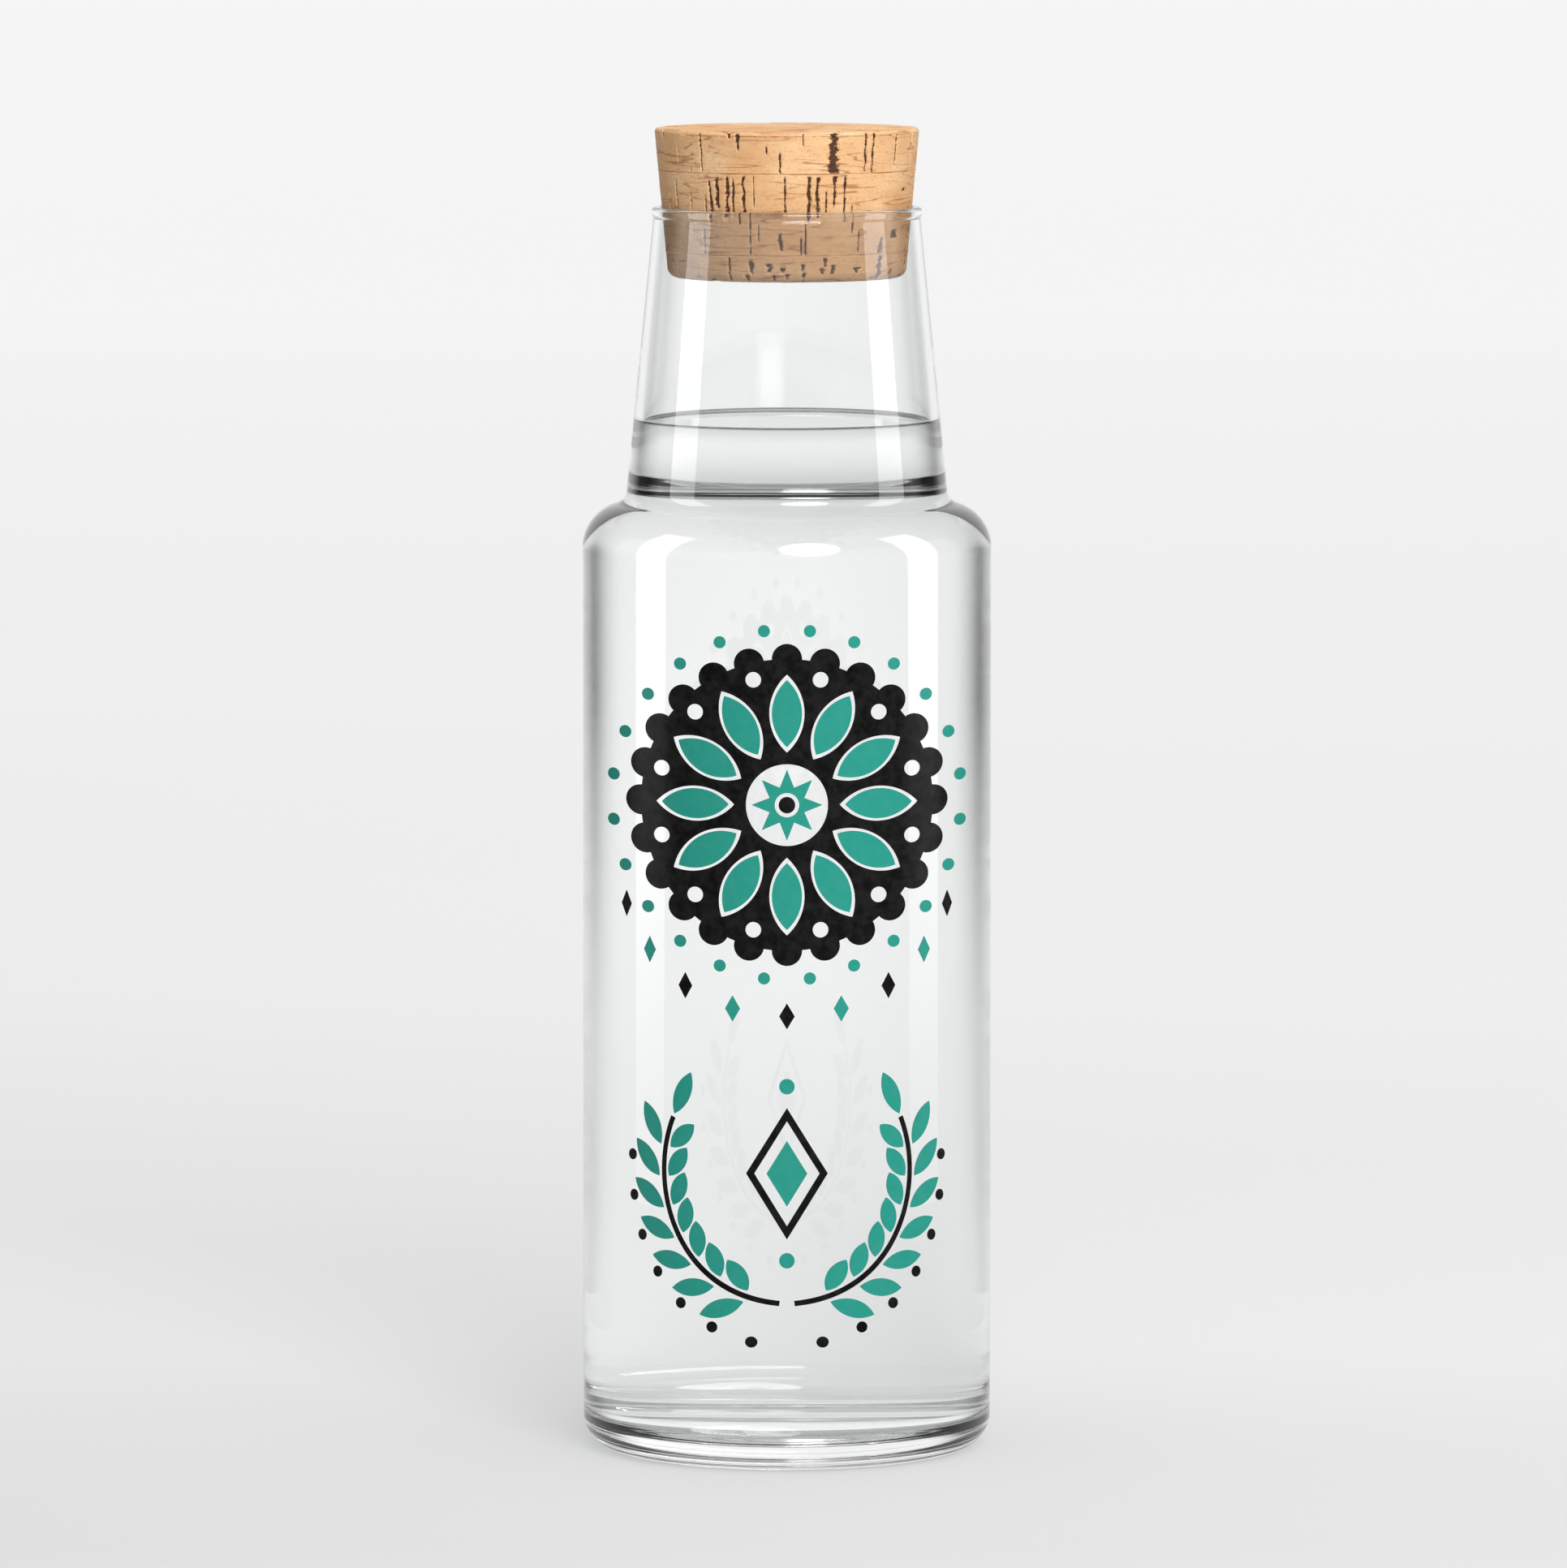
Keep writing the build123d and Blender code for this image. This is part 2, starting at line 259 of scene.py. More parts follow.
def bottle_outline(radius, foot, heel, shoulder_top, shoulder, neck_low, neck_high, corner):
    """Heel, straight side, shoulder and neck of one face of the bottle, from the bottom up."""
    centre = Vector((radius - shoulder, shoulder_top - shoulder))
    up_neck = (Vector(neck_high) - Vector(neck_low)).normalized()
    outward = Vector((up_neck.y, -up_neck.x))
    base = Vector(neck_low) + outward * corner - centre
    half = base.dot(up_neck)
    climb = sqrt(half * half - base.length_squared + (shoulder + corner) ** 2) - half
    corner_offset = base + up_neck * climb
    corner_centre = centre + corner_offset
    touch = atan2(corner_offset.y, corner_offset.x)
    facing = atan2(outward.y, outward.x)
    neck_start = corner_centre - outward * corner
    points = arc((radius - heel, foot + heel), heel, -QUARTER_TURN, 0)
    points += run((radius, foot + heel), (radius, centre.y))
    points += arc(centre, shoulder, 0, touch)
    points += arc(corner_centre, corner, touch + pi, facing + pi)
    points += run(tuple(neck_start), neck_high)
    return without_repeats(points)


def hollow_outline(glass, inset, top):
    """The inner face of the glass up to a height, drawn in by an inset."""
    foot_height = glass.shoulder_height - glass.wall - inset
    at_rim = glass.mouth - inset
    at_foot = glass.neck_foot - glass.neck_foot_wall - inset
    taper = (at_foot - at_rim) / (glass.rim_height - glass.shoulder_height)
    return bottle_outline(
        glass.body_radius - glass.wall - inset,
        glass.floor + inset,
        glass.inner_heel,
        foot_height,
        glass.inner_shoulder,
        (at_rim + taper * (glass.rim_height - foot_height), foot_height),
        (at_rim + taper * (glass.rim_height - top), top),
        glass.inner_neck_foot_round,
    )


def radius_on(line, height):
    """Radius at a height on the straight line through two outline points."""
    (low_radius, low), (high_radius, high) = line
    return low_radius + (high_radius - low_radius) * (height - low) / (high - low)


def glass_outline(glass, water_line):
    """The whole face of the glass: under the base, up outside, over the rim and down inside."""
    ring_outside = glass.body_radius - glass.heel
    ring_inside = ring_outside - glass.resting_ring
    sphere = (ring_inside**2 + glass.push_up**2) / (2 * glass.push_up)
    edge = atan2(sphere - glass.push_up, ring_inside)
    step = (QUARTER_TURN - edge) / PUSH_UP_STEPS
    under = arc((0, glass.push_up - sphere), sphere, QUARTER_TURN, edge, step)
    under += run((ring_inside, 0), (ring_outside, 0), glass.resting_ring / RING_STEPS)
    bead_middle = glass.rim_height - glass.bead_height / 2
    outside = bottle_outline(
        glass.body_radius,
        0,
        glass.heel,
        glass.shoulder_height,
        glass.shoulder,
        (glass.neck_foot, glass.shoulder_height),
        (glass.mouth + glass.neck_top_wall, bead_middle),
        glass.neck_foot_round,
    )
    inside = hollow_outline(glass, 0, water_line) + hollow_outline(glass, 0, glass.rim_height)
    inside = [p for place, p in enumerate(inside) if p[1] >= max(q[1] for q in inside[:place + 1])]
    rounding = glass.bead_width * glass.bead_round
    outer_middle = glass.mouth + glass.bead_width - rounding
    inner_middle = glass.mouth + rounding
    low_middle = glass.rim_height - glass.bead_height + rounding
    high_middle = glass.rim_height - rounding
    bead_foot = arc((outer_middle, low_middle), rounding, -QUARTER_TURN, 0, SMALL_ARC_STEP)
    bead_foot = [p for p in bead_foot if p[0] > radius_on(outside[-2:], p[1])]
    under_bead = bead_foot[0][1] - BEAD_GAP
    neck = [p for p in outside if p[1] < under_bead - NECK_END]
    neck += [(radius_on(outside[-2:], height), height) for height in (under_bead - NECK_END, under_bead)]
    bead_top = arc((outer_middle, high_middle), rounding, 0, QUARTER_TURN, SMALL_ARC_STEP)
    bead_lip = arc((inner_middle, high_middle), rounding, QUARTER_TURN, pi, SMALL_ARC_STEP)
    bead_lip = [p for p in bead_lip if p[0] > radius_on(inside[-2:], p[1])]
    throat = [p for p in inside if p[1] < bead_lip[-1][1]]
    down = throat[::-1] + run((throat[0][0], glass.floor), (0, glass.floor))
    return without_repeats(under + neck + bead_foot + bead_top + bead_lip + down)


def water_outline(glass, water):
    """Floor, side and surface of the water, which climbs a little at the glass."""
    top = water.level + water.meniscus
    side = hollow_outline(glass, water.gap, top)
    edge = side[-1][0]
    surface = []
    for distance in MENISCUS_STEPS:
        reach = distance * water.meniscus_reach
        surface.append((edge - reach, water.level + water.meniscus * exp(-distance)))
    flat = run((surface[-1][0], water.level), (0, water.level))[1:]
    floor = run((0, glass.floor + water.gap), side[0])
    return without_repeats(floor + side + surface + flat)


# Meshes
def turned(name, outline, segments):
    """A skin of revolution about Z, from an outline that starts and ends on the axis."""
    radii, heights = np.array(outline[1:-1]).T
    turns = np.arange(segments) * (FULL_TURN / segments)
    points = np.empty((len(radii), segments, 3))
    points[..., 0] = radii[:, None] * np.cos(turns)
    points[..., 1] = radii[:, None] * np.sin(turns)
    points[..., 2] = heights[:, None]
    return skin(name, list(points), outline[0][1], outline[-1][1])


def skin(name, rings, first_height, last_height):
    """Joins rings of points into one closed mesh with a point on the axis at each end.

    A ring has as many points as the one before it, or half or double as many.
    """
    points = np.concatenate(rings + [np.array([(0, 0, first_height), (0, 0, last_height)])])
    starts = np.cumsum([0] + [len(ring) for ring in rings])
    first_pole, last_pole = len(points) - 2, len(points) - 1
    faces = []
    for low, high in zip(range(len(rings) - 1), range(1, len(rings))):
        faces += band(starts[low], len(rings[low]), starts[high], len(rings[high]))
    around = np.arange(len(rings[0]))
    after = np.roll(around, -1)
    faces += np.stack([np.full_like(around, first_pole), after, around], 1).tolist()
    around = np.arange(len(rings[-1])) + starts[-2]
    after = np.roll(around, -1)
    faces += np.stack([np.full_like(around, last_pole), around, after], 1).tolist()
    mesh = bpy.data.meshes.new(name)
    mesh.from_pydata(points.tolist(), [], faces)
    mesh.shade_smooth()
    mesh.validate()
    piece = bpy.data.objects.new(name, mesh)
    bpy.context.scene.collection.objects.link(piece)
    return piece


def band(low, low_count, high, high_count):
    """Faces between two neighbouring rings."""
    fine = np.arange(max(low_count, high_count))
    if low_count == high_count:
        after = np.roll(fine, -1)
        return np.stack([low + fine, low + after, high + after, high + fine], 1).tolist()
    coarse = np.arange(min(low_count, high_count))
    coarse_after = np.roll(coarse, -1)
    even, odd, next_even = 2 * coarse, 2 * coarse + 1, (2 * coarse + 2) % len(fine)
    if low_count > high_count:
        even, odd, next_even = low + even, low + odd, low + next_even
        here, there = high + coarse, high + coarse_after
        faces = [(even, odd, here), (odd, there, here), (odd, next_even, there)]
    else:
        even, odd, next_even = high + even, high + odd, high + next_even
        here, there = low + coarse, low + coarse_after
        faces = [(here, odd, even), (here, there, odd), (there, next_even, odd)]
    return [row for face in faces for row in np.stack(face, 1).tolist()]


# Materials
def add_node(tree, kind, inputs=None, **settings):
    """A new node with its settings, and its inputs set or linked."""
    node = tree.nodes.new(kind)
    for name, value in settings.items():
        setattr(node, name, value)
    for name, value in (inputs or {}).items():
        if isinstance(value, bpy.types.NodeSocket):
            tree.links.new(value, node.inputs[name])
        else:
            node.inputs[name].default_value = value
    return node


def new_tree(material):
    """The empty node tree of a material or a world."""
    material.use_nodes = True
    material.node_tree.nodes.clear()
    return material.node_tree


def with_alpha(rgb):
    """A colour with full alpha."""
    return (*rgb, 1.0)


def place(tree):
    """The place on the piece, in metres, which moves with it."""
    return add_node(tree, "ShaderNodeTexCoord").outputs["Object"]


def noise(tree, vector, scale, detail, roughness=0.5):
    """A noise texture's value output."""
    inputs = {"Vector": vector, "Scale": scale, "Detail": detail, "Roughness": roughness}
    return add_node(tree, "ShaderNodeTexNoise", inputs).outputs["Fac"]


def stretched(tree, vector, x, y, z):
    """A vector scaled by a different factor along each axis."""
    return add_node(tree, "ShaderNodeMapping", {"Vector": vector, "Scale": (x, y, z)}).outputs["Vector"]


def ramp(tree, value, low, high, out_low=0.0, out_high=1.0):
    """A value carried smoothly from one range to another."""
    inputs = {"Value": value, "From Min": low, "From Max": high, "To Min": out_low, "To Max": out_high}
    return add_node(tree, "ShaderNodeMapRange", inputs, interpolation_type="SMOOTHSTEP").outputs["Result"]


def stepped(tree, value, stops):
    """A value read off a line through stops (value, result)."""
    first, last = stops[0][0], stops[-1][0]
    along = add_node(tree, "ShaderNodeMapRange", {"Value": value, "From Min": first, "From Max": last})
    line = add_node(tree, "ShaderNodeValToRGB", {"Fac": along.outputs["Result"]})
    marks = line.color_ramp.elements
    for _ in stops[2:]:
        marks.new(0.5)
    for mark, (at, result) in zip(marks, stops):
        mark.position = (at - first) / (last - first)
        mark.color = (result, result, result, 1)
    return line.outputs["Color"]


def maths(tree, operation, first, second=0.0):
    """The result of a sum on two values."""
    return add_node(tree, "ShaderNodeMath", {0: first, 1: second}, operation=operation).outputs[0]


def blend(tree, factor, first, second):
    """A mix of two colours, each given as a colour or a socket."""
    # Several of the node's sockets share a name, so they are called by their numbers
    inputs = {0: factor, 6: first, 7: second}
    return add_node(tree, "ShaderNodeMix", inputs, data_type="RGBA").outputs[2]


RIPPLE_SCALE = 28.0
GLASS_IOR = 1.5
WATER_IOR = 1.333
AFTER_MATT = 0.5
FLAT_FLOOR = 0.5
FLAT_SURFACE = 0.3


def skin_material(name, shades):
    """Water against the glass: light passes straight on, with painted shade at some heights."""
    material = bpy.data.materials.new(name)
    tree = new_tree(material)
    height = add_node(tree, "ShaderNodeSeparateXYZ", {0: place(tree)}).outputs["Z"]
    clear = add_node(tree, "ShaderNodeBsdfTransparent", {"Color": stepped(tree, height, shades)})
    add_node(tree, "ShaderNodeOutputMaterial", {"Surface": clear.outputs[0]})
    return material


def clear_material(name, tint_and_shade, shade, ior, ripple):
    """Clear glass or water with a faint ripple, which lets light straight through to matt pieces."""
    material = bpy.data.materials.new(name)
    tree = new_tree(material)
    wave = noise(tree, place(tree), RIPPLE_SCALE, 1.0)
    bump = add_node(tree, "ShaderNodeBump", {"Height": wave, "Distance": ripple, "Strength": 1.0})
    inputs = {
        "Base Color": with_alpha(tint_and_shade),
        "Roughness": 0.0,
        "IOR": ior,
        "Transmission Weight": 1.0,
        "Normal": bump.outputs["Normal"],
    }
    clear = add_node(tree, "ShaderNodeBsdfPrincipled", inputs)
    passing = add_node(tree, "ShaderNodeBsdfTransparent", {"Color": with_alpha(shade)})
    path = add_node(tree, "ShaderNodeLightPath")
    matt = maths(tree, "GREATER_THAN", path.outputs["Diffuse Depth"], AFTER_MATT)
    lit = maths(tree, "MAXIMUM", path.outputs["Is Shadow Ray"], matt)
    mixed = add_node(tree, "ShaderNodeMixShader", {0: lit, 1: clear.outputs[0], 2: passing.outputs[0]})
    add_node(tree, "ShaderNodeOutputMaterial", {"Surface": mixed.outputs[0]})
    return material


class BOTTLE_OT_glass(Operator):
    """Add the blown glass bottle"""

    bl_idname = "bottle.glass"
    bl_label = "Glass Bottle"

    def execute(self, context):
        glass = context.scene.bottle_glass
        water = context.scene.bottle_water
        water_line = water.level + water.meniscus
        outline = glass_outline(glass, water_line)
        piece = turned("Blown_glass", outline, glass.segments)
        for name, ior in (("Clear glass", GLASS_IOR), ("Wetted glass", GLASS_IOR / WATER_IOR)):
            finish = clear_material(name, glass.tint_and_shade, glass.shade, ior, glass.ripple)
            piece.data.materials.append(finish)
        for face in piece.data.polygons:
            x, y, z = face.center
            floor = z < glass.floor + glass.inner_heel and face.normal.z > FLAT_FLOOR
            inward = floor or x * face.normal.x + y * face.normal.y < 0
            inside = hypot(x, y) < radius_inside(glass, z)
            if inward and inside and glass.floor - SAME_POINT < z < water_line:
                face.material_index = 1
        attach(piece, "bottle")
        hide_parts("glass_bottle")
        return {"FINISHED"}


def radius_inside(glass, height):
    """A radius between the two faces of the glass at a height."""
    if height > glass.shoulder_height:
        return glass.neck_foot - glass.neck_foot_wall / 2
    return glass.body_radius - glass.wall / 2


def painted_neck_shades(glass, water):
    """Light kept at heights, as painted shade: a soft dark band in the water just above the shoulder, and
    darkening up to a dark line at the water's surface.
    """
    foot = glass.shoulder_height
    return (
        (foot - 2.5 * MM, 1.0),
        (foot + 0.2 * MM, 0.88),
        (foot + 2.6 * MM, 0.8),
        (foot + 5.2 * MM, 0.92),
        (foot + 8.2 * MM, 1.0),
        (water.level - 2.6 * MM, 1.0),
        (water.level - 0.1 * MM, 0.8),
        (water.level + 0.1 * MM, 0.4),
        (water.level + 1.0 * MM, 0.4),
    )


class BOTTLE_OT_water(Operator):
    """Add the water that fills the bottle"""

    bl_idname = "bottle.water"
    bl_label = "Water"

    def execute(self, context):
        glass = context.scene.bottle_glass
        water = context.scene.bottle_water
        piece = turned("Water_fill", water_outline(glass, water), glass.segments)
        # The surface takes the grey as painted shade on the top of the water
        top_finish = clear_material("Water surface", water.tint_and_shade, glass.shade, WATER_IOR, 0.0)
        piece.data.materials.append(top_finish)
        piece.data.materials.append(skin_material("Water against glass", painted_neck_shades(glass, water)))
        for face in piece.data.polygons:
            surface = face.normal.z > FLAT_SURFACE and face.center.z > water.level - SAME_POINT
            face.material_index = 0 if surface else 1
        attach(piece, "bottle")
        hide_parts("water")
        return {"FINISHED"}


# Pores of the stopper: azimuth from the front in degrees, width at the foot and at
# the top in millimetres, and the shares of the disc's height between which it runs
TOP_DISC_PORES = (
    (-69, 0.4, 1.3, 0.70, 1.00),
    (-56, 0.4, 0.4, 0.20, 0.62),
    (-48, 0.5, 0.4, 0.00, 0.16),
    (-41, 0.5, 0.6, 0.05, 0.97),
    (-26, 0.3, 1.6, 0.82, 1.00),
    (-22, 0.4, 1.2, 0.55, 1.00),
    (-9, 0.4, 0.4, 0.45, 0.66),
    (-3, 0.5, 0.4, 0.00, 0.52),
    (7, 0.2, 0.4, 0.66, 0.98),
    (21, 3.0, 2.3, 0.00, 1.00),
    (37, 0.6, 0.9, 0.04, 1.00),
    (41, 0.9, 0.8, 0.00, 0.98),
    (56, 0.5, 0.9, 0.12, 0.90),
    (71, 0.6, 0.7, 0.08, 1.00),
    (83, 0.5, 0.6, 0.00, 0.72),
)
MIDDLE_DISC_PORES = (
    (-67, 0.5, 0.4, 0.46, 0.80),
    (-60, 0.7, 0.7, 0.42, 0.92),
    (-49, 0.5, 0.4, 0.48, 0.76),
    (-48, 0.3, 0.3, 0.27, 0.43),
    (-41, 0.5, 0.9, 0.00, 0.33),
    (-40, 0.4, 0.4, 0.52, 0.74),
    (-37, 1.1, 0.8, 0.44, 0.92),
    (-33, 1.0, 1.2, 0.58, 0.96),
    (-28, 1.2, 1.0, 0.46, 0.97),
    (-25, 0.6, 0.6, 0.48, 0.95),
    (-22, 0.4, 0.6, 0.38, 0.49),
    (-20, 1.0, 0.7, 0.52, 0.98),
    (-17, 0.4, 0.4, 0.00, 0.50),
    (-15, 0.3, 0.3, 0.60, 0.98),
    (-13, 0.4, 0.3, 0.17, 0.38),
    (-3, 0.8, 1.0, 0.06, 0.27),
    (-1, 0.5, 0.5, 0.48, 0.98),
    (6.5, 0.5, 0.4, 0.00, 0.22),
    (8.5, 0.5, 0.4, 0.00, 0.40),
    (10, 1.2, 1.1, 0.42, 0.98),
    (14, 1.2, 1.0, 0.46, 0.97),
    (18, 0.5, 0.4, 0.50, 0.80),
    (22, 0.4, 1.2, 0.58, 0.98),
    (27, 0.5, 0.7, 0.42, 0.98),
    (31, 0.5, 0.5, 0.28, 0.62),
    (35, 0.5, 0.7, 0.02, 0.30),
    (49, 1.8, 1.0, 0.00, 0.22),
    (58, 2.6, 2.8, 0.18, 0.29),
    (67, 4.6, 4.2, 0.76, 0.80),
    (75, 1.6, 1.9, 0.05, 0.30),
)
LOWER_DISC_PORES = (
    (-67, 0.6, 0.6, 0.00, 0.85),
    (-62, 0.5, 0.5, 0.00, 0.85),
    (-47, 0.4, 0.3, 0.05, 0.48),
    (-28, 0.7, 0.6, 0.00, 0.92),
    (-19, 1.0, 1.3, 0.00, 0.30),
    (-17, 0.7, 1.5, 0.34, 0.84),
    (-8, 1.0, 1.4, 0.40, 0.72),
    (-6, 0.5, 0.9, 0.00, 0.30),
    (-2, 0.4, 1.6, 0.36, 0.58),
    (0, 0.3, 1.3, 0.14, 0.32),
    (7.5, 0.5, 1.2, 0.44, 0.70),
    (8, 0.7, 1.1, 0.18, 0.38),
    (8, 0.9, 0.6, 0.00, 0.13),
    (17, 0.8, 1.6, 0.30, 0.56),
    (18, 0.6, 1.2, 0.60, 0.92),
    (22, 0.9, 1.4, 0.32, 0.66),
    (35, 0.6, 2.6, 0.34, 0.56),
    (49, 2.0, 1.6, 0.05, 1.00),
    (58, 1.0, 2.0, 0.10, 0.42),
    (71, 3.6, 2.2, 0.00, 0.18),
    (75, 1.4, 2.2, 0.42, 0.98),
)
SEEN_HALF_ANGLE = 86
PORE_SPACING = 6.2
# Random pores: ranges of their angle past the front, width, foot, height and taper
FIRST_PORE = (2, 6)
NARROW_PORE, WIDE_PORE = 0.35, 1.3
PORE_FOOT = (-0.4, 0.6)
PORE_HEIGHT = (0.2, 0.9)
PORE_TAPER = (0.6, 1.5)
SPACING_SPREAD = (0.3, 1.7)
# Outline of a pore: its sway in millimetres, and the cells and shares of its fray
SWAY = 0.22
SWAY_CELLS = 9
FRAY = 0.32
FRAY_CELLS = 26
FRAY_BASE = 0.78
PORE_WALL = 1.35
PORE_END = 0.4
END_SHARPNESS = 22
THINNEST_PORE = 0.02
# Pores of the flat faces: their number, half width in millimetres, stretch and edge
TOP_FACE_PORES = 46
FACE_PORE_SIZE, FACE_PORE_SPREAD = 0.3, 0.9
FACE_PORE_STRETCH = (1.0, 2.4)
FACE_PORE_WALL = 1.5
FRONT_AZIMUTH = -QUARTER_TURN


def smooth_steps(values):
    """Values from 0 to 1 eased at both ends."""
    clipped = np.clip(values, 0, 1)
    return clipped * clipped * (3 - 2 * clipped)


def random_field(generator, around, up, cells_around, cells_up):
    """A smooth random field from -1 to 1 that closes on itself round the stopper."""
    lattice = generator.uniform(-1, 1, (cells_around, cells_up + 2))
    x = np.mod(around / FULL_TURN, 1) * cells_around
    y = np.clip(up, 0, 1) * cells_up
    column, row = np.floor(x).astype(int), np.floor(y).astype(int)
    right, above = smooth_steps(x - column), smooth_steps(y - row)
    column, beside = column % cells_around, (column + 1) % cells_around
    low = lattice[column, row] * (1 - right) + lattice[beside, row] * right
    high = lattice[column, row + 1] * (1 - right) + lattice[beside, row + 1] * right
    return low * (1 - above) + high * above


def random_pores(generator):
    """Pores for the part of a disc that the front view doesn't show."""
    pores = []
    azimuth = SEEN_HALF_ANGLE + generator.uniform(*FIRST_PORE)
    while azimuth < 360 - SEEN_HALF_ANGLE:
        width = NARROW_PORE + (WIDE_PORE - NARROW_PORE) * generator.uniform() ** 2
        low = max(0.0, generator.uniform(*PORE_FOOT))
        high = min(1.0, low + generator.uniform(*PORE_HEIGHT))
        pores.append((azimuth, width, width * generator.uniform(*PORE_TAPER), low, high))
        azimuth += PORE_SPACING * generator.uniform(*SPACING_SPREAD)
    return pores


def pore_field(generator, pores, azimuths, radii, shares):
    """How deep each point lies in a pore, from 0 at the skin to 1."""
    depth = np.zeros_like(azimuths)
    for azimuth, foot, top, low, high in pores:
        sway = random_field(generator, azimuths * 0, shares, 1, SWAY_CELLS)
        fray = random_field(generator, azimuths * 0, shares, 1, FRAY_CELLS)
        offset = np.mod(azimuths - radians(azimuth) + pi, FULL_TURN) - pi
        across = offset * radii / MM + SWAY * sway * min(1.0, foot)
        along = (shares - low) / (high - low)
        width = (foot + (top - foot) * np.clip(along, 0, 1)) * (FRAY_BASE + FRAY * fray)
        inside = smooth_steps(PORE_WALL - np.abs(across) / np.maximum(width / 2, THINNEST_PORE))
        bottom_end = smooth_steps(along * (high - low) * END_SHARPNESS + PORE_END)
        top_end = smooth_steps((1 - along) * (high - low) * END_SHARPNESS + PORE_END)
        depth = np.maximum(depth, inside * (bottom_end * top_end))
    return depth


def side_radius(cork, height):
    """Radius of the stopper's straight side at a height."""
    at_top = cork.top_radius + cork.top_round * ROUNDED_SHARE
    return at_top - (STOPPER_TOP.z - height) * tan(cork.taper)


def edge_arc(cork, centre_height, rounding, start, end):
    """The rounded edge of the stopper at its top or bottom."""
    centre = side_radius(cork, centre_height) - rounding / cos(cork.taper)
    return arc((centre, centre_height), rounding, start, end, SMALL_ARC_STEP)


FEWEST_SEGMENTS = 8
NARROWEST_CELL = 0.7


def cap_rings(edge, height, cell, segments):
    """Rings (radius, height, points) of a flat face, from its edge inwards."""
    rings = []
    radius = edge - cell
    while radius > cell:
        if segments > FEWEST_SEGMENTS and FULL_TURN * radius / segments < NARROWEST_CELL * cell:
            segments //= 2
        rings.append((radius, height, segments))
        radius -= cell
    return rings


class BOTTLE_OT_stopper(Operator):
    """Add the cork stopper, glued up from three discs"""

    bl_idname = "bottle.stopper"
    bl_label = "Cork Stopper"

    def execute(self, context):
        cork = context.scene.bottle_cork
        generator = np.random.default_rng(cork.seed)
        finish = cork_material(cork)
        discs = {
            "cork_top_disc": TOP_DISC_PORES,
            "cork_middle_disc": MIDDLE_DISC_PORES,
            "cork_lower_disc": LOWER_DISC_PORES,
        }
        for node, pores in discs.items():
            low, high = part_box(node)
            pores = list(pores) + random_pores(generator)
            piece = cork_disc(cork, node, low.z, high.z, pores, generator)
            piece.data.materials.append(finish)
            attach(piece, "stopper")
            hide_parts(node)
        film = glue_material(cork)
        for node in ("glue_film_upper", "glue_film_lower"):
            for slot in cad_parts[node].material_slots:
                slot.material = film
        return {"FINISHED"}


HIDDEN_CELL = 3 * MM
ROUNDED_SHARE = 0.07
PORE_REACH = 1.4 * MM
# Sanding waves and grain: cells around and up, and their shares of the depth
WAVE_CELLS = (60, 5)
GRAIN_CELLS = 420
GRAIN_HEIGHT = 0.5 * MM
WAVE_SHARE, GRAIN_SHARE = 0.6, 0.4


def cork_disc(cork, node, low, high, pores, generator):
    """One disc with its pores pressed into the skin, and their depth kept for the colours."""
    at_top = high > STOPPER_TOP.z - cork.top_round
    at_bottom = low < STOPPER_BOTTOM + SAME_POINT
    side = []
    side_low, side_high = low, high
    if at_bottom:
        side_low = low + cork.bottom_round
        side += edge_arc(cork, side_low, cork.bottom_round, -QUARTER_TURN, -cork.taper)
    if at_top:
        side_high = high - cork.top_round
    rows = ceil((side_high - side_low) / cork.row)
    for row in range(rows + 1):
        height = side_low + (side_high - side_low) * row / rows
        side.append((side_radius(cork, height), height))
    if at_top:
        side += edge_arc(cork, side_high, cork.top_round, -cork.taper, QUARTER_TURN)
    side = [(radius, height, cork.segments) for radius, height in without_repeats(side)]
    under = cap_rings(side[0][0], low, cork.face_cell if at_bottom else HIDDEN_CELL, cork.segments)
    above = cap_rings(side[-1][0], high, cork.face_cell if at_top else HIDDEN_CELL, cork.segments)
    rings = under[::-1] + side + above
    azimuths = np.concatenate([np.arange(n) * (FULL_TURN / n) for _, _, n in rings])
    radii = np.concatenate([np.full(n, radius) for radius, _, n in rings])
    heights = np.concatenate([np.full(n, height) for _, height, n in rings])
    from_front = azimuths - FRONT_AZIMUTH
    shares = (heights - low) / (high - low)
    inward = side_radius(cork, heights) - radii
    depth = pore_field(generator, pores, from_front, radii, shares)
    depth *= smooth_steps(1.2 - inward / PORE_REACH)
    if at_top or at_bottom:
        depth = np.maximum(depth, face_pores(generator, azimuths, radii, inward))
    waves = random_field(generator, azimuths, shares, *WAVE_CELLS) * 0.5 + 0.5
    grain_rows = ceil((high - low) / GRAIN_HEIGHT)
    grain = random_field(generator, azimuths, shares, GRAIN_CELLS, grain_rows) * 0.5 + 0.5
    recess = cork.sanding * (WAVE_SHARE * waves + GRAIN_SHARE * grain) + cork.pit_depth * depth
    tangent = np.gradient(np.array([ring[:2] for ring in rings]), axis=0)
    normal = np.stack([tangent[:, 1], -tangent[:, 0]], 1)
    normal /= np.linalg.norm(normal, axis=1)[:, None]
    each = np.repeat(np.arange(len(rings)), [n for _, _, n in rings])
    radii = radii - recess * normal[each, 0]
    heights = heights - recess * normal[each, 1]
    points = np.stack([radii * np.cos(azimuths), radii * np.sin(azimuths), heights], 1)
    ends = np.cumsum([n for _, _, n in rings])[:-1]
    piece = skin(node.replace("cork", "Cork"), np.split(points, ends), low, high)
    pore = piece.data.attributes.new("pore", "FLOAT", "POINT")
    pore.data.foreach_set("value", np.append(depth, (0, 0)).astype(np.float32))
    return piece


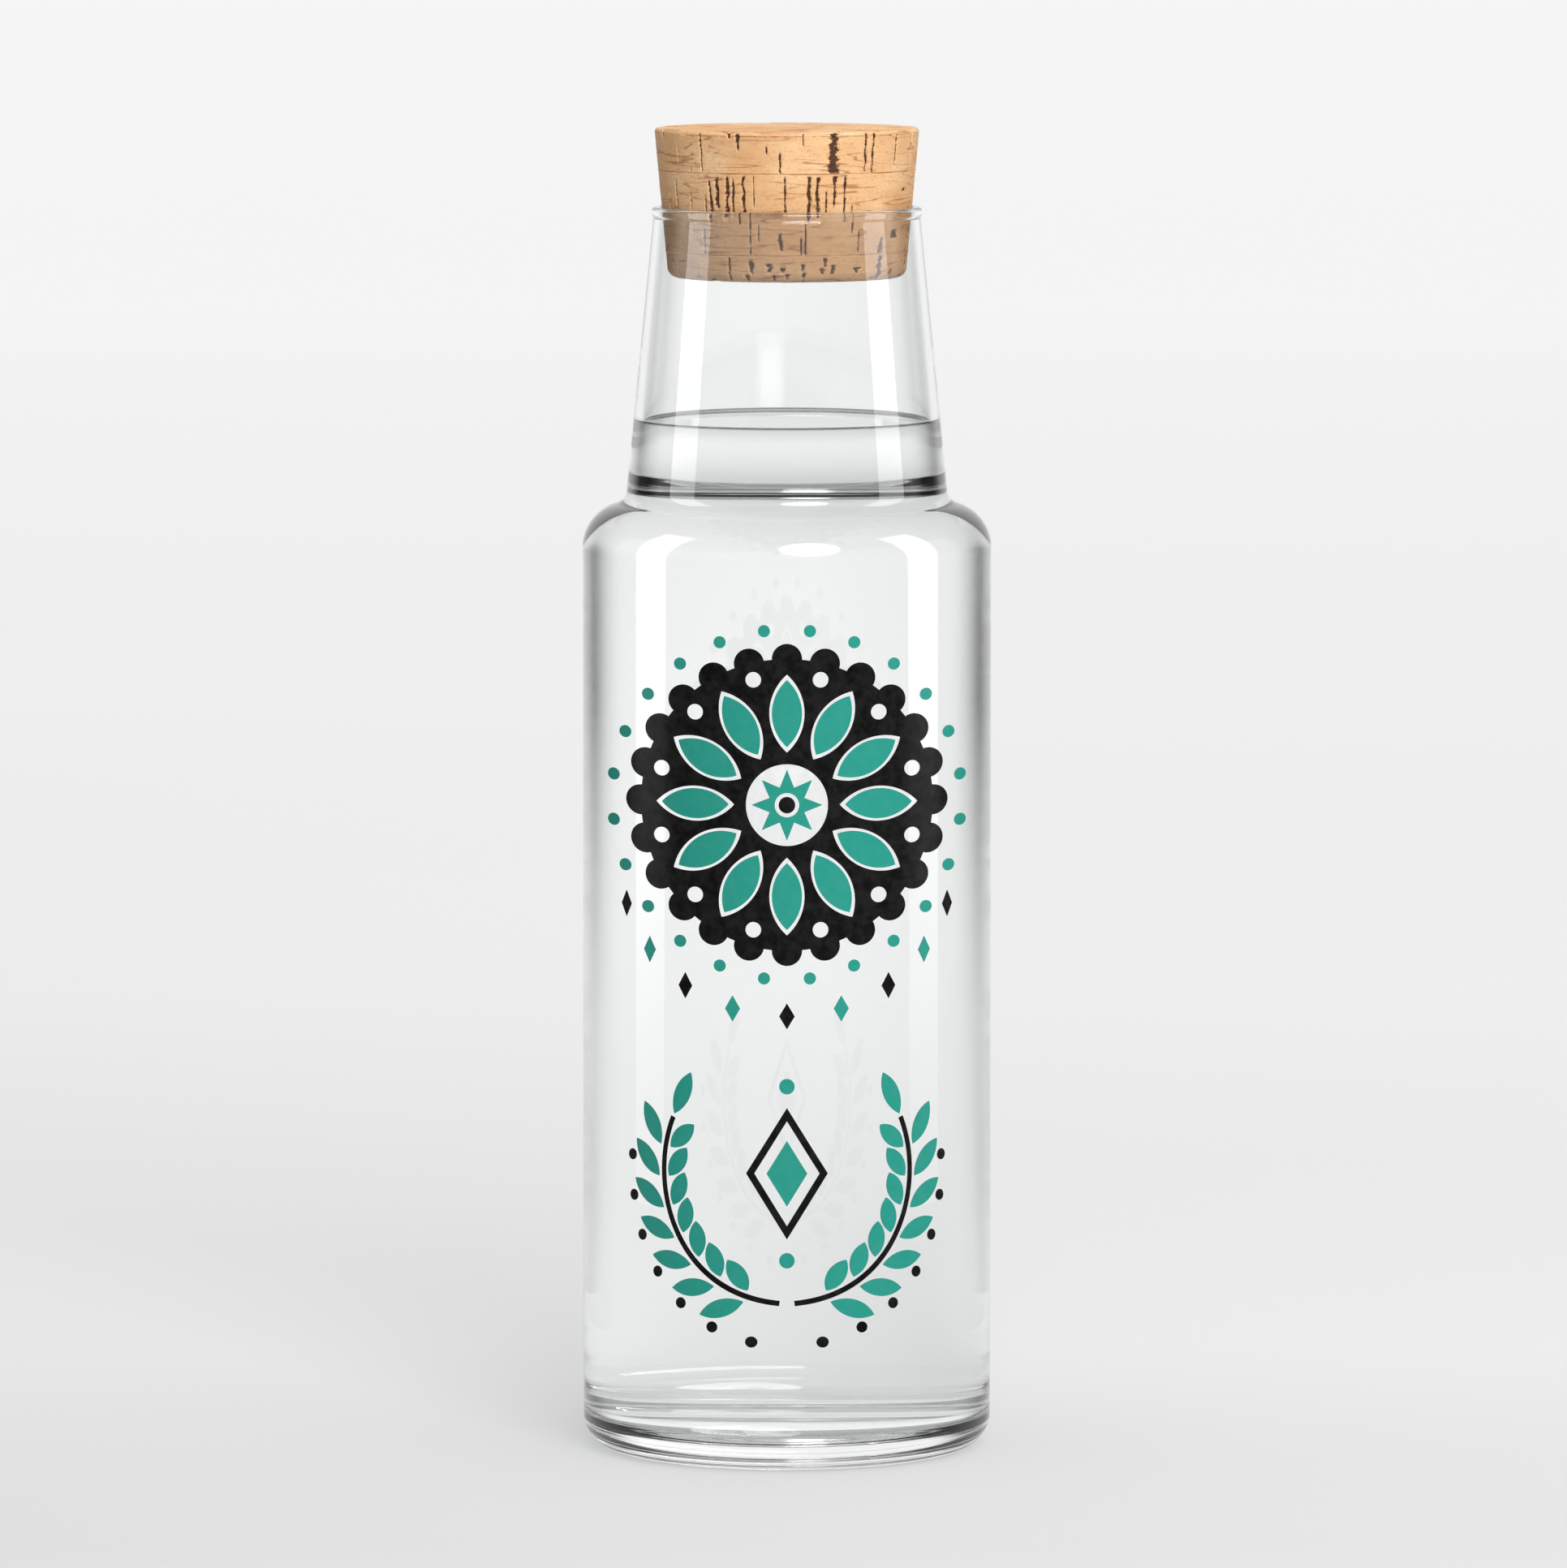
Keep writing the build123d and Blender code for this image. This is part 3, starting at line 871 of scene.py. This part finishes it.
def face_pores(generator, azimuths, radii, inward):
    """Cut ends of pores, scattered over a flat face."""
    x, y = radii * np.cos(azimuths), radii * np.sin(azimuths)
    depth = np.zeros_like(radii)
    reach = radii.max()
    for _ in range(TOP_FACE_PORES):
        turn, spread = generator.uniform(0, FULL_TURN), sqrt(generator.uniform())
        size = (FACE_PORE_SIZE + FACE_PORE_SPREAD * generator.uniform() ** 2) * MM
        lean, squeeze = generator.uniform(0, pi), generator.uniform(*FACE_PORE_STRETCH)
        dx, dy = x - reach * spread * cos(turn), y - reach * spread * sin(turn)
        long_way = (dx * cos(lean) + dy * sin(lean)) / squeeze
        short_way = dy * cos(lean) - dx * sin(lean)
        hollow = smooth_steps(FACE_PORE_WALL - np.hypot(long_way, short_way) / size)
        depth = np.maximum(depth, hollow)
    return depth * smooth_steps(inward / MM)


# Noises of the cork: stretch up the stopper, scale, detail and roughness
PATCHES = (1.6, 70, 3, 0.55)
BLUSH = (3.5, 45, 4, 0.6)
FINE_GRAIN = (2.2, 900, 3, 0.7)
GRIT = (1.3, 2600, 2, 0.7)
RING_HEIGHTS = (11, 20, 3.5, 0.5)
RING_BREAKS = (5, 110, 2, 0.5)
CRUMBS = (0.8, 2000, 3, 0.8)
RINGS_PER_RISE = 9
RING_WIDTH = 0.12
CRUMB_STRENGTH = 3.0
PORE_DARKNESS = 0.97
# Depth under the glass rim over which the painted shade on the cork fades in
PAINTED_SHADE_EDGE = 3 * MM
CORK_RELIEF = 0.12 * MM


def cork_noise(tree, where, stretch, scale, detail, roughness):
    """A noise in the cork, stretched along the stopper's height."""
    return noise(tree, stretched(tree, where, 1, 1, stretch), scale, detail, roughness)


def cork_material(cork):
    """Sanded cork: mottled tan, thin growth lines and dark grainy pores, with painted shade below the glass
    rim.
    """
    material = bpy.data.materials.new("Natural cork")
    tree = new_tree(material)
    where = place(tree)
    patches = cork_noise(tree, where, *PATCHES)
    base = blend(tree, ramp(tree, patches, 0.35, 0.7), with_alpha(cork.tan), with_alpha(cork.pale))
    fine = cork_noise(tree, where, *FINE_GRAIN)
    ring_heights = maths(tree, "MULTIPLY", cork_noise(tree, where, *RING_HEIGHTS), RINGS_PER_RISE)
    ring = maths(tree, "SUBTRACT", maths(tree, "FRACT", ring_heights), 0.5)
    ring = ramp(tree, maths(tree, "ABSOLUTE", ring), RING_WIDTH, 0.0)
    breaks = ramp(tree, cork_noise(tree, where, *RING_BREAKS), 0.34, 0.58, 0, 0.65)
    layers = (
        (ramp(tree, cork_noise(tree, where, *BLUSH), 0.5, 0.78, 0, 0.75), cork.ruddy),
        (ramp(tree, fine, 0.5, 0.72, 0, 0.6), cork.ruddy),
        (ramp(tree, cork_noise(tree, where, *GRIT), 0.56, 0.78, 0, 0.6), cork.line),
        (maths(tree, "MULTIPLY", ring, breaks), cork.line),
    )
    for cover, tone in layers:
        base = blend(tree, cover, base, with_alpha(tone))
    pore = add_node(tree, "ShaderNodeAttribute", attribute_name="pore").outputs["Fac"]
    crumbs = maths(tree, "SUBTRACT", cork_noise(tree, where, *CRUMBS), 0.5)
    edge = maths(tree, "ADD", pore, maths(tree, "MULTIPLY", crumbs, CRUMB_STRENGTH))
    dark = maths(tree, "MULTIPLY", ramp(tree, edge, 0.35, 0.7), ramp(tree, pore, 0.02, 0.3))
    base = blend(tree, maths(tree, "MULTIPLY", dark, PORE_DARKNESS), base, with_alpha(cork.pore))
    # Painted shade: below the glass rim the cork's colour is multiplied by a warm grey, fading in over the
    # last few millimetres under the rim
    height = add_node(tree, "ShaderNodeSeparateXYZ", {0: where}).outputs["Z"]
    painted_shade = ramp(tree, height, GLASS_TOP.z - PAINTED_SHADE_EDGE, GLASS_TOP.z, 1, 0)
    kept = blend(tree, painted_shade, (1, 1, 1, 1), with_alpha(cork.painted_shade))
    base = add_node(tree, "ShaderNodeVectorMath", {0: base, 1: kept}, operation="MULTIPLY").outputs[0]
    relief = maths(tree, "SUBTRACT", maths(tree, "MULTIPLY", fine, 0.5), dark)
    bump = add_node(tree, "ShaderNodeBump", {"Height": relief, "Distance": CORK_RELIEF, "Strength": 0.6})
    inputs = {
        "Base Color": base,
        "Roughness": 0.62,
        "Specular IOR Level": 0.3,
        "Normal": bump.outputs["Normal"],
    }
    cover = add_node(tree, "ShaderNodeBsdfPrincipled", inputs)
    add_node(tree, "ShaderNodeOutputMaterial", {"Surface": cover.outputs[0]})
    return material


GLUE_GRAIN = 160


def glue_material(cork):
    """The thin film of glue, uneven in tone."""
    material = bpy.data.materials.new("Cork glue")
    tree = new_tree(material)
    uneven = noise(tree, place(tree), GLUE_GRAIN, 3, 0.6)
    base = blend(tree, ramp(tree, uneven, 0.4, 0.62), with_alpha(cork.glue), with_alpha(cork.tan))
    cover = add_node(tree, "ShaderNodeBsdfPrincipled", {"Base Color": base, "Roughness": 0.5})
    add_node(tree, "ShaderNodeOutputMaterial", {"Surface": cover.outputs[0]})
    return material


class BOTTLE_OT_print(Operator):
    """Finish the black and the green ink on the glass"""

    bl_idname = "bottle.print"
    bl_label = "Printed Ink"

    def execute(self, context):
        ink = context.scene.bottle_ink
        inks = {
            "black": ink_material(ink, "Black ink", ink.black),
            "teal": ink_material(ink, "Teal ink", ink.teal),
        }
        for name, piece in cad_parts.items():
            if name.startswith("ink_"):
                for slot in piece.material_slots:
                    slot.material = inks[name.rsplit("_", 1)[1]]
        return {"FINISHED"}


INK_GRAIN = 420
INK_LIGHTER = 0.06
MOTTLE_GAIN = 10


def ink_material(ink, name, tone):
    """Screen-printed ink, faintly uneven, that shines along the round of the glass."""
    material = bpy.data.materials.new(name)
    tree = new_tree(material)
    where = place(tree)
    uneven = ramp(tree, noise(tree, where, INK_GRAIN, 4, 0.6), 0.3, 0.7, 0, MOTTLE_GAIN * ink.mottling)
    lighter = tuple(channel + (1 - channel) * INK_LIGHTER for channel in tone)
    base = blend(tree, uneven, with_alpha(tone), with_alpha(lighter))
    flat = add_node(tree, "ShaderNodeVectorMath", {0: where, 1: (1, 1, 0)}, operation="MULTIPLY").outputs[0]
    outward = add_node(tree, "ShaderNodeVectorMath", {0: flat}, operation="NORMALIZE").outputs[0]
    turned_out = add_node(
        tree,
        "ShaderNodeVectorTransform",
        {"Vector": outward},
        vector_type="NORMAL",
        convert_from="OBJECT",
        convert_to="WORLD",
    )
    inputs = {
        "Base Color": base,
        "Roughness": ink.roughness,
        "Specular IOR Level": ink.sheen,
        "Normal": turned_out.outputs[0],
    }
    cover = add_node(tree, "ShaderNodeBsdfPrincipled", inputs)
    add_node(tree, "ShaderNodeOutputMaterial", {"Surface": cover.outputs[0]})
    return material


class BOTTLE_OT_stage(Operator):
    """Add the floor, the lamps, the world and the camera"""

    bl_idname = "bottle.stage"
    bl_label = "Studio"

    def execute(self, context):
        stage = context.scene.bottle_stage
        add_camera(context, stage)
        add_floor(context, stage)
        add_lamps(context, stage)
        add_cards(context, stage)
        light_world(context, stage)
        context.scene.view_settings.view_transform = "Standard"
        context.scene.cycles.max_bounces = stage.bounces
        context.scene.cycles.transmission_bounces = stage.bounces
        context.scene.cycles.glossy_bounces = stage.bounces
        return {"FINISHED"}


CAMERA_RANGE = (0.1, 100)


def add_camera(context, stage):
    """The camera at the photograph's place and angle."""
    data = bpy.data.cameras.new("Camera")
    data.sensor_fit = "VERTICAL"
    data.sensor_width = data.sensor_height = SENSOR
    data.lens = FOCAL_PIXELS * SENSOR / PHOTO_HEIGHT
    data.clip_start, data.clip_end = CAMERA_RANGE
    camera = bpy.data.objects.new("Camera", data)
    camera.location = (stage.camera_aside, -stage.camera_distance, stage.camera_height)
    camera.rotation_euler = (QUARTER_TURN - stage.camera_tilt, 0, 0)
    context.scene.collection.objects.link(camera)
    context.scene.camera = camera


def seen_directly(tree):
    """1 for rays that reach the camera with no matt face between, and else 0."""
    path = add_node(tree, "ShaderNodeLightPath")
    either = maths(tree, "MAXIMUM", path.outputs["Is Camera Ray"], path.outputs["Is Glossy Ray"])
    either = maths(tree, "MAXIMUM", either, path.outputs["Is Transmission Ray"])
    before_matt = maths(tree, "LESS_THAN", path.outputs["Diffuse Depth"], AFTER_MATT)
    return maths(tree, "MULTIPLY", either, before_matt)


# Glow of the floor: strength at depths behind the bottle's axis in metres
FLOOR_GLOW = (
    (-0.14, 0.015),
    (0.0, 0.07),
    (0.13, 0.155),
    (0.29, 0.19),
    (0.46, 0.235),
    (0.67, 0.31),
    (0.84, 0.37),
    (1.1, 0.428),
    (1.41, 0.484),
    (1.78, 0.549),
    (2.77, 0.637),
    (4.38, 0.707),
    (7.4, 0.738),
    (10.2, 0.757),
)
NEAR_FLOOR = 0.5
SWEEP_RISE = 2.0
SWEEP_HEIGHT = 6.0
SWEEP_SEGMENTS = 96


def add_floor(context, stage):
    """A wide pale floor that curves up into a wall all round and brightens with distance."""
    material = bpy.data.materials.new("Pale floor")
    tree = new_tree(material)
    matt = add_node(
        tree,
        "ShaderNodeBsdfPrincipled",
        {"Base Color": with_alpha(stage.floor_tone), "Roughness": 1.0, "Specular IOR Level": 0.0},
    )
    where = place(tree)
    depth = add_node(tree, "ShaderNodeSeparateXYZ", {0: where}).outputs["Y"]
    away = add_node(tree, "ShaderNodeVectorMath", {0: where}, operation="LENGTH").outputs["Value"]
    depth = maths(tree, "MAXIMUM", depth, maths(tree, "SUBTRACT", away, NEAR_FLOOR))
    glow = maths(tree, "MULTIPLY", stepped(tree, depth, FLOOR_GLOW), seen_directly(tree))
    light = add_node(tree, "ShaderNodeEmission", {"Color": (1, 1, 1, 1), "Strength": glow})
    both = add_node(tree, "ShaderNodeAddShader", {0: matt.outputs[0], 1: light.outputs[0]})
    add_node(tree, "ShaderNodeOutputMaterial", {"Surface": both.outputs[0]})
    foot = stage.floor_radius - SWEEP_RISE
    outline = run((0, 0), (foot, 0), foot)
    outline += arc((foot, SWEEP_RISE), SWEEP_RISE, -QUARTER_TURN, 0)
    outline += [(stage.floor_radius, SWEEP_HEIGHT), (0, SWEEP_HEIGHT)]
    floor = turned("Floor", without_repeats(outline), SWEEP_SEGMENTS)
    floor.data.materials.append(material)
    drop_faces(floor.data, SWEEP_HEIGHT)


def drop_faces(mesh, height):
    """Removes the faces that lie flat at a height."""
    work = bmesh.new()
    work.from_mesh(mesh)
    lid = [face for face in work.faces if all(abs(v.co.z - height) < SAME_POINT for v in face.verts)]
    bmesh.ops.delete(work, geom=lid, context="FACES")
    work.to_mesh(mesh)
    work.free()


LAMP_AIM = 0.19
# Lamps: name, azimuth from the front, elevation, distance, width, and whether the glass mirrors it
LAMPS = (
    ("Key lamp", radians(13.6), radians(27.5), 2.4, 1.38, True),
    ("Side lamp", radians(50), radians(32), 1.8, 0.95, False),
    ("Top lamp", radians(20), radians(78), 1.8, 1.3, False),
)


def add_lamps(context, stage):
    """A round lamp above the camera, and two that light only matt faces."""
    lights = (stage.key_light, stage.side_light, stage.top_light)
    for (name, azimuth, elevation, distance, width, mirrored), light in zip(LAMPS, lights):
        data = bpy.data.lights.new(name, "AREA")
        data.shape = "DISK"
        data.size = width
        data.energy = light * pi * width**2
        lamp = bpy.data.objects.new(name, data)
        flat = distance * cos(elevation)
        height = LAMP_AIM + distance * sin(elevation)
        lamp.location = (flat * sin(azimuth), -flat * cos(azimuth), height)
        lamp.rotation_euler = (Vector((0, 0, LAMP_AIM)) - lamp.location).to_track_quat("-Z", "Y").to_euler()
        lamp.visible_camera = False
        lamp.visible_glossy = lamp.visible_transmission = data.use_shadow = mirrored
        context.scene.collection.objects.link(lamp)


def add_card(context, name, side, rows, material, through_glass):
    """A card beside the bottle through rows (azimuth of both ends from the front, distance, height)."""
    corners = []
    for front, back, distance, height in rows:
        for azimuth in (front, back):
            corners.append((side * distance * sin(azimuth), -distance * cos(azimuth), height))
    mesh = bpy.data.meshes.new(name)
    quads = [(n, n + 1, n + 3, n + 2) for n in range(0, len(corners) - 2, 2)]
    mesh.from_pydata(corners, [], quads)
    mesh.materials.append(material)
    card = bpy.data.objects.new(name, mesh)
    card.visible_camera = card.visible_diffuse = card.visible_shadow = False
    card.visible_transmission = through_glass
    context.scene.collection.objects.link(card)


PANEL_FRONT_LOW = radians(71)
PANEL_FRONT_HIGH = radians(64)
PANEL_BACK = radians(91)
PANEL_NEAR = 0.45
PANEL_FAR = 1.1
PANEL_HEIGHT = 1.25
PANEL_FADE = 0.14
PANEL_FOOT_LIGHT = 0.35
CARD_FROM = radians(100)
CARD_TO = radians(150)
CARD_FULL = radians(118)
CARD_DARK = radians(130)
CARD_FOOT = -0.025
CARD_SOLID = 0.06
CARD_PALE = 0.3
CARD_TONE_LOW = 0.04
CARD_TONE_HIGH = 0.15
# Distance from the bottle and height of the dark cards, from their foot up
CARD_PROFILE = ((0.22, 0.001), (0.8, 0.004), (1.15, 0.05), (1.25, 0.9))


def add_cards(context, stage):
    """Bright panels that draw the strips on the glass, and dark cards that draw its edges."""
    bright = panel_material(stage.panel_light)
    dark = card_material()
    panel = (
        (PANEL_FRONT_LOW, PANEL_BACK, PANEL_NEAR, 0),
        (PANEL_FRONT_HIGH, PANEL_BACK, PANEL_FAR, PANEL_HEIGHT),
    )
    card = [(CARD_FROM, CARD_TO, distance, height) for distance, height in CARD_PROFILE]
    for side, word in ((-1, "left"), (1, "right")):
        add_card(context, "Panel_" + word, side, panel, bright, False)
        add_card(context, "Card_" + word, side, card, dark, True)


def panel_material(light):
    """White light that is weaker towards the panel's foot."""
    material = bpy.data.materials.new("Bright panel")
    tree = new_tree(material)
    height = add_node(tree, "ShaderNodeSeparateXYZ", {0: place(tree)}).outputs["Z"]
    strength = ramp(tree, height, 0.0, PANEL_FADE, PANEL_FOOT_LIGHT * light, light)
    strength = maths(tree, "MULTIPLY", strength, seen_directly(tree))
    glow = add_node(tree, "ShaderNodeEmission", {"Color": (1, 1, 1, 1), "Strength": strength})
    add_node(tree, "ShaderNodeOutputMaterial", {"Surface": glow.outputs[0]})
    return material


def card_material():
    """Dark card that fades out towards its foot and both of its sides."""
    material = bpy.data.materials.new("Dark card")
    tree = new_tree(material)
    where = place(tree)
    height = add_node(tree, "ShaderNodeSeparateXYZ", {0: where}).outputs["Z"]
    flat = add_node(tree, "ShaderNodeVectorMath", {0: where, 1: (1, 1, 0)}, operation="MULTIPLY").outputs[0]
    outward = add_node(tree, "ShaderNodeVectorMath", {0: flat}, operation="NORMALIZE").outputs[0]
    back = add_node(tree, "ShaderNodeSeparateXYZ", {0: outward}).outputs["Y"]
    tone = ramp(tree, height, CARD_SOLID, CARD_PALE, CARD_TONE_LOW, CARD_TONE_HIGH)
    dark = add_node(tree, "ShaderNodeEmission", {"Color": (1, 1, 1, 1), "Strength": tone})
    clear = add_node(tree, "ShaderNodeBsdfTransparent")
    foot = {"Value": height, "From Min": CARD_FOOT, "From Max": CARD_SOLID}
    rise = add_node(tree, "ShaderNodeMapRange", foot).outputs["Result"]
    at_back = ramp(tree, back, -cos(CARD_TO), -cos(CARD_DARK))
    at_front = ramp(tree, back, -cos(CARD_FROM), -cos(CARD_FULL))
    solid = maths(tree, "MULTIPLY", rise, maths(tree, "MULTIPLY", at_back, at_front))
    mixed = add_node(tree, "ShaderNodeMixShader", {0: solid, 1: clear.outputs[0], 2: dark.outputs[0]})
    add_node(tree, "ShaderNodeOutputMaterial", {"Surface": mixed.outputs[0]})
    return material


def light_world(context, stage):
    """Even light from all sides."""
    world = bpy.data.worlds.new("Studio")
    tree = new_tree(world)
    light = add_node(tree, "ShaderNodeBackground", {"Color": (1, 1, 1, 1), "Strength": stage.world_light})
    add_node(tree, "ShaderNodeOutputWorld", {"Surface": light.outputs[0]})
    context.scene.world = world


class BOTTLE_PT_pieces(Panel):
    """Buttons that build the bottle and its studio"""

    bl_idname = "BOTTLE_PT_pieces"
    bl_label = "Stoppered Bottle"
    bl_space_type = "VIEW_3D"
    bl_region_type = "UI"
    bl_category = "Bottle"

    def draw(self, context):
        for operator in OPERATORS:
            self.layout.operator(operator.bl_idname)


SETTINGS = {
    "bottle_glass": GlassSettings,
    "bottle_water": WaterSettings,
    "bottle_cork": CorkSettings,
    "bottle_ink": InkSettings,
    "bottle_stage": StageSettings,
}
OPERATORS = (BOTTLE_OT_glass, BOTTLE_OT_water, BOTTLE_OT_stopper, BOTTLE_OT_print, BOTTLE_OT_stage)


def register():
    for name, group in SETTINGS.items():
        bpy.utils.register_class(group)
        setattr(bpy.types.Scene, name, PointerProperty(type=group))
    for operator in OPERATORS:
        bpy.utils.register_class(operator)
    bpy.utils.register_class(BOTTLE_PT_pieces)


def unregister():
    bpy.utils.unregister_class(BOTTLE_PT_pieces)
    for operator in reversed(OPERATORS):
        bpy.utils.unregister_class(operator)
    for name, group in SETTINGS.items():
        delattr(bpy.types.Scene, name)
        bpy.utils.unregister_class(group)


def main():
    register()
    bpy.ops.bottle.stage()
    bpy.ops.bottle.glass()
    bpy.ops.bottle.water()
    bpy.ops.bottle.stopper()
    bpy.ops.bottle.print()


if __name__ == "__main__":
    main()
